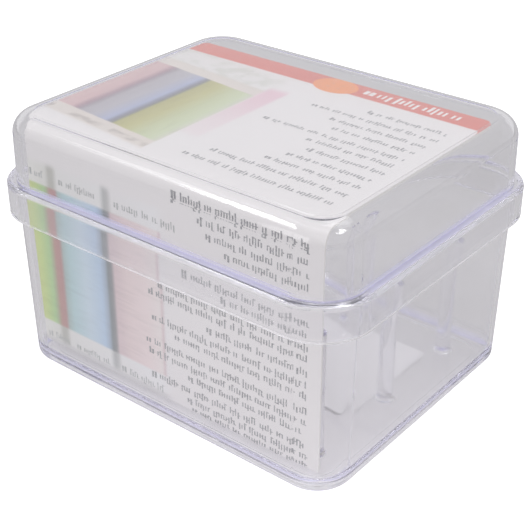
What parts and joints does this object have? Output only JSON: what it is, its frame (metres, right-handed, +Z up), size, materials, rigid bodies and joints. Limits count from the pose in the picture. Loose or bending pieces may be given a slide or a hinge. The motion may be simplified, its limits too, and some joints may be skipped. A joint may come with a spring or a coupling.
{
  "type": "bobbin box",
  "caption": "Clear plastic box for sewing thread reels: deep tray with upright pegs, stepped lift-off lid and a folded display card.",
  "frame": {"origin": "centre of the footprint, on the plane the box stands on", "axes": "+X along the long side, +Z up, the front long side with the card's panel faces -Y"},
  "size_m": [0.11, 0.091, 0.0704],
  "materials": {
    "clear_shell": "glossy crystal-clear polystyrene",
    "printed_card": "coated white board with a print",
    "white_label": "plain coated paper"
  },
  "bodies": {
    "base": {"base_tray": "clear_shell", "base_label": "white_label"},
    "card": {"display_card": "printed_card"},
    "cover": {"lid": "clear_shell"}
  },
  "joints": [
    {"name": "card_lift", "type": "slide", "parent": "base", "child": "card", "axis": [0, 0, 1], "range_m": [0, 0.07]},
    {"name": "lid_lift", "type": "slide", "parent": "card", "child": "cover", "axis": [0, 0, 1], "range_m": [0, 0.06]}
  ]
}
